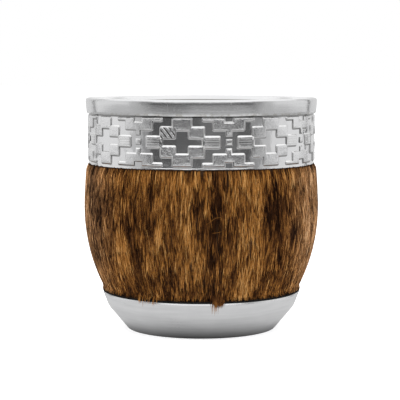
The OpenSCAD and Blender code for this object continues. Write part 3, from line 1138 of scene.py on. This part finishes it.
# Tufts over the base's lip: turn and spread in degrees, hairs, least and greatest drop in mm, and tone
loose_tufts = [
    (8.8, 1.9, 190, 0.8, 2.8, 0.34),
    (7.2, 0.9, 9, 3.5, 5.8, 0.62),
    (11.5, 0.8, 10, 1.0, 3.0, 0.6),
    (-36, 1.6, 10, 1.0, 3.2, 0.8),
    (-31, 2.5, 9, 0.8, 2.6, 0.75),
    (-26, 1.5, 6, 0.8, 3.0, 0.8),
]


def loose_hairs():
    """Hairs of the tufts, rooted a little above the lip."""
    chance = np.random.default_rng(HAIR_SEED + 3)
    tufts = []
    for middle, spread, count, least, most, tone in loose_tufts:
        drop = chance.uniform(least, most, count) * MM
        aside = chance.normal(0, spread, count)
        z = hair_z + chance.uniform(2, 4.5, count) * MM
        tufts.append(dict(
            turn=np.radians(middle + aside), z=z, length=np.full(count, tuft_length),
            lean=chance.normal(0, 0.08, count), lift=np.full(count, 0.95), drop=drop,
            tone=tone + chance.normal(0, 0.13, count), width=hair_half_w * chance.uniform(0.6, 0.9, count),
            drawn_in=np.radians(aside) * lip_r * 0.35,
        ))
    return {name: np.concatenate([tuft[name] for tuft in tufts]) for name in tufts[0]}


def hair_paths(hairs):
    """Stations of every hair from root to tip: turn, height, radius and paleness, with a row per hair."""
    chance = np.random.default_rng(HAIR_SEED + 2)
    z0 = hairs["z"]
    slope = (hair_r(z0 - 3 * MM) - hair_r(z0 - 4 * MM)) / MM
    fall = 1 / np.sqrt(1 + slope**2)
    end_z = hair_z - hairs["drop"]
    length = np.minimum(hairs["length"], np.maximum((z0 - end_z) / fall, 1.0 * MM))
    s = np.array(hair_stations)[None, :]
    z = z0[:, None] - (length * fall)[:, None] * s
    near_collar = np.clip((z0 - collar_z + collar_reach) / collar_reach, 0, 1)[:, None]
    rise = np.clip(s * (1.7 + 5 * near_collar), 0, 1)
    rise = rise * rise * (3 - 2 * rise)
    pile = hair_r(z) - leather_r(z)
    root = 0.08 + 0.3 * near_collar
    tip = chance.normal(0, 0.1, z0.shape)[:, None] * s**2
    r = leather_r(z) + pile * np.clip(root + (hairs["lift"][:, None] - root) * rise + tip, 0.05, 0.8)
    over_welt = lip_r + tuft_clear - np.maximum(z - hair_z, 0) * 0.6
    r = np.maximum(r, np.where((s > 0) & (hairs["drop"] > 0)[:, None], over_welt, 0))
    sway = (hairs["lean"] * length)[:, None] * s - hairs["drawn_in"][:, None] * s**1.5
    turn = hairs["turn"][:, None] + sway / r
    # Paleness along each hair: the root end is darker, partly the hair's own colour and partly painted
    # shade of the coat; hairs near the collar get less of it.
    along = s + (1 - s) * 0.6 * near_collar
    return turn, z, r, along


def hair_points(path, turn, width):
    """Points of every hair: three round each of its first stations, and one at its tip."""
    ahead = np.empty_like(path)
    ahead[:, :-1] = path[:, 1:] - path[:, :-1]
    ahead[:, -1] = ahead[:, -2]
    ahead /= np.linalg.norm(ahead, axis=2, keepdims=True)
    outward = np.stack([np.sin(turn), -np.cos(turn), np.zeros_like(turn)], axis=2)
    across = np.cross(ahead, outward)
    across /= np.linalg.norm(across, axis=2, keepdims=True)
    upward = np.cross(across, ahead)
    points = np.empty((len(path), points_per_hair, 3))
    for ring, share in enumerate(hair_taper):
        for corner in range(3):
            angle = math.pi / 2 + corner * math.tau / 3
            offset = across[:, ring] * math.cos(angle) + upward[:, ring] * math.sin(angle) * 0.8
            points[:, ring * 3 + corner] = path[:, ring] + offset * (width * share)[:, None]
    points[:, -1] = path[:, -1]
    return points


def hair_faces():
    """Point numbers of one hair's faces, and the spot of each face's corners in the hair's bake cell."""
    faces = []
    spots = []
    for ring in range(2):
        low, high = ring_spots[ring : ring + 2]
        for corner in range(3):
            after = (corner + 1) % 3
            faces.append((ring * 3 + corner, ring * 3 + after, ring * 3 + 3 + after, ring * 3 + 3 + corner))
            spots.append([(corner, low), (corner + 1, low), (corner + 1, high), (corner, high)])
    for corner in range(3):
        faces.append((6 + corner, 6 + (corner + 1) % 3, 9))
        spots.append([(corner, ring_spots[2]), (corner + 1, ring_spots[2]), (corner + 0.5, 1.0)])
    faces.append((2, 1, 0))
    spots.append([(0, 0.0), (3, 0.0), (1.5, ring_spots[0])])
    return faces, spots


def weave_hair(name, turn, z, r, along, width, tone, finish):
    """One layer of hairs: closed three-sided spikes along the given stations."""
    count = len(width)
    path = np.stack([r * np.sin(turn), -r * np.cos(turn), z], axis=2)
    points = hair_points(path, turn, width)
    faces, spots = hair_faces()
    corners = np.array([corner for face in faces for corner in face])
    starts = np.cumsum([0] + [len(face) for face in faces])[:-1]
    hair = np.arange(count)
    loops = (hair[:, None] * points_per_hair + corners[None, :]).ravel()
    loop_starts = (hair[:, None] * len(corners) + starts[None, :]).ravel()
    mesh = bpy.data.meshes.new(name)
    mesh.vertices.add(count * points_per_hair)
    mesh.vertices.foreach_set("co", points.astype(np.float32).ravel())
    mesh.loops.add(len(loops))
    mesh.loops.foreach_set("vertex_index", loops.astype(np.int32))
    mesh.polygons.add(len(loop_starts))
    mesh.polygons.foreach_set("loop_start", loop_starts.astype(np.int32))
    mesh.polygons.foreach_set("use_smooth", np.ones(len(loop_starts), bool))
    margin = 0.1
    spot = np.array([place for face in spots for place in face]) / (3, 1) * (1 - 2 * margin) + margin
    cell = np.stack([hair % bake_columns, hair // bake_columns], axis=1)
    uv = (cell[:, None, :] + spot[None, :, :]) / (bake_columns, bake_rows)
    mesh.uv_layers.new(name="OFBake").data.foreach_set("uv", uv.astype(np.float32).ravel())
    along = np.concatenate([np.repeat(along[:, :3], 3, axis=1), along[:, 3:]], axis=1).ravel()
    keep_values(mesh, "tone", np.repeat(tone, points_per_hair))
    keep_values(mesh, "along", along)
    mesh.update(calc_edges=True)
    dress(placed(name, mesh), finish, "hide", "hide_wrap")


# Pale hairs that lie across the coat in front: turn and height of their four stations, in degrees and mm
stray_hairs = [
    [(2.2, 44.9), (4.4, 46.1), (6.8, 47.3), (9.9, 47.6)],
    [(4.8, 41.7), (7.0, 41.9), (8.5, 42.1), (10.1, 42.5)],
]
stray_depth = 0.1 * MM
stray_half_w = 0.065 * MM
stray_tone = 0.85


def make_hair():
    """Coat of the hide in layers, whose first hairs are the stray ones."""
    hairs = comb_hair()
    turn, z, r, along = hair_paths(hairs)
    stray = np.array(stray_hairs)
    first = slice(len(stray))
    turn[first] = np.radians(stray[:, :, 0])
    z[first] = stray[:, :, 1] * MM
    r[first] = hair_r(z[first]) - stray_depth
    hairs["tone"][first] = stray_tone
    hairs["width"][first] = stray_half_w
    finish = brindled_hair()
    for layer in range(hair_layers):
        share = slice(layer, None, hair_layers)
        paths = (turn[share], z[share], r[share], along[share])
        weave_hair(f"hide_hair_{layer + 1}", *paths, hairs["width"][share], hairs["tone"][share], finish)


# Camera, stage and light
camera_at = Vector((0, -0.586, 0.103))
camera_aim = Vector((-0.0005, 0, 0.0497))
camera_lens = 135.8
light_aim = Vector((0, 0, 0.05))
table_fade = 80 * MM


def make_camera():
    """Camera that takes the object as the photo shows it."""
    data = bpy.data.cameras.new("photo_camera")
    data.lens = camera_lens
    data.sensor_width = 36
    camera = placed("photo_camera", data)
    look = (camera_aim - camera_at).to_track_quat("-Z", "Y").to_matrix().to_4x4()
    camera.matrix_world = Matrix.Translation(camera_at) @ look
    bpy.context.scene.camera = camera


def stage_paint(name, colour, glow=0.0):
    """Plain paint for the stage, which may glow by itself."""
    finish = Finish(name)
    finish.shade(Base_Color=(*colour, 1), Roughness=0.9, Specular_IOR_Level=0.0)
    finish.shade(Emission_Color=(1, 1, 1, 1), Emission_Strength=glow)
    return finish.material


def table_glow_with_painted_shadow():
    """Glowing paint of the table as the metal sees it, with a painted shadow: dark beside the foot and
    lighter away from it, the shadow a little weaker to the left and right.
    """
    finish = Finish("table_glow_with_painted_shadow")
    x, y, z = finish.parts(finish.place())
    r = (x * x + y * y) ** 0.5
    glows = [(0.0, 0.015), (0.033, 0.2), (0.085, 0.55), (0.27, 0.68), (0.45, 0.65), (1.0, 0.45)]
    stops = [(share, (glow, glow, glow)) for share, glow in glows]
    away = (r - foot_r) / table_fade + (x / r) ** 2 * 0.022
    finish.shade(Base_Color=(0, 0, 0, 1), Specular_IOR_Level=0.0, Emission_Strength=1.0)
    finish.shade(Emission_Color=finish.ramp(away, stops))
    return finish.material


def make_floor():
    """Pale floor that fades into the white room."""
    deselect()
    bpy.ops.mesh.primitive_plane_add(size=12)
    floor = bpy.context.object
    floor.name = "floor"
    floor.data.materials.append(stage_paint("pale_floor", (0.88, 0.88, 0.88), 0.4))
    floor.visible_glossy = False


def reflection_card(name, turns, inner, outer, paint):
    """Card on an arc round the object, from its inner edge to its outer one, seen only in the metal.

    The edges are given as radius and height, so a card lies on the floor or stands up.
    """
    angles = np.radians(np.linspace(*turns, 48))
    points = [(r * math.sin(a), -r * math.cos(a), z) for r, z in (inner, outer) for a in angles]
    count = len(angles)
    faces = [(i, i + 1, count + i + 1, count + i) for i in range(count - 1)]
    mesh = bpy.data.meshes.new(name)
    mesh.from_pydata(points, [], faces)
    mesh.materials.append(paint)
    card = placed(name, mesh)
    card.visible_camera = False
    card.visible_diffuse = False
    card.visible_shadow = False


def soft_light(name, turn, height, distance, size, power):
    """A soft box that faces the object."""
    data = bpy.data.lights.new(name, "AREA")
    data.shape = "RECTANGLE"
    data.size, data.size_y = size
    data.energy = power
    light = placed(name, data)
    side = math.radians(turn)
    light.location = (distance * math.sin(side), -distance * math.cos(side), height)
    aim = light_aim - light.location
    light.rotation_euler = aim.to_track_quat("-Z", "Y").to_euler()
    light.visible_camera = False
    light.visible_glossy = False


# Ring of the standing cards, and what lies on the floor
card_r = 0.62
card_h = 0.5
flag_h = 0.19
mat_turns = (-55, 55)
mat_z = 0.4 * MM
table_in_r = 0.028
table_z = 0.2 * MM
# Cards that stand in front, as least and greatest turn and glow
front_flags = [
    (-50, -25, 0.08),
    (-25, 0, 0.1),
    (0, 35, 0.14),
    (35, 50, 0.09),
]
# Cards that lie in front, as inner and outer radius and glow
front_mats = [
    (0.11, 0.3, 0.7),
    (0.3, 0.5, 0.52),
    (0.5, 0.62, 0.1),
]
# Cards beside the object, as least and greatest turn and glow
side_cards = [
    (50, 60, 0.28),
    (60, 72, 0.5),
    (72, 90, 0.71),
    (90, 110, 0.75),
    (110, 126.5, 0.75),
    (126.5, 131, 0.04),
    (131, 158, 0.68),
    (158, 172, 0.74),
]


def make_light():
    """White room with three soft boxes, and the cards that the metal shows."""
    world = bpy.data.worlds.new("white_room")
    world.use_nodes = True
    world.node_tree.nodes["Background"].inputs["Color"].default_value = (1, 1, 1, 1)
    world.node_tree.nodes["Background"].inputs["Strength"].default_value = 1.0
    bpy.context.scene.world = world
    soft_light("left_box", -75, 0.35, 0.9, (0.5, 0.8), 5.0)
    soft_light("right_box", 75, 0.35, 0.9, (0.5, 0.8), 5.0)
    soft_light("top_box", 0, 1.0, 0.25, (0.6, 0.6), 4.0)
    low = (card_r, 0.0)
    flag_top = (card_r, flag_h)
    card_top = (card_r, card_h)
    black = (0.0, 0.0, 0.0)
    for start, stop, glow in front_flags:
        paint = stage_paint("flag_paint", black, glow)
        reflection_card("front_flag", (start, stop), low, flag_top, paint)
    for start, stop, glow in front_mats:
        paint = stage_paint("mat_paint", black, glow)
        reflection_card("floor_front", mat_turns, (start, mat_z), (stop, mat_z), paint)
    reflection_card("floor_round", (0, 360), (table_in_r, table_z), (card_r, table_z), table_glow_with_painted_shadow())
    for side in (-1, 1):
        for start, stop, glow in side_cards:
            paint = stage_paint("side_paint", black, glow)
            reflection_card("side_card", (side * start, side * stop), low, card_top, paint)
    reflection_card("back_card", (172, 188), low, card_top, stage_paint("back_paint", black, 0.95))
    bpy.context.scene.view_settings.view_transform = "Standard"


make_camera()
make_floor()
make_light()
make_gourd()
make_leather()
make_welt()
make_rim()
make_base()
make_collar()
make_stitches()
make_hair()
nodes = frame["nodes"]
hidden_paste = {
    "rim_sealant": set_paste("neck_sealant", (0.55, 0.5, 0.42), (0.78, 0.74, 0.66), 0.35),
    "base_glue_bed": set_paste("seat_glue", (0.3, 0.2, 0.08), (0.55, 0.42, 0.22), 0.3),
}
for node_name, finish in hidden_paste.items():
    nodes[node_name].data.materials.clear()
    nodes[node_name].data.materials.append(finish.material)
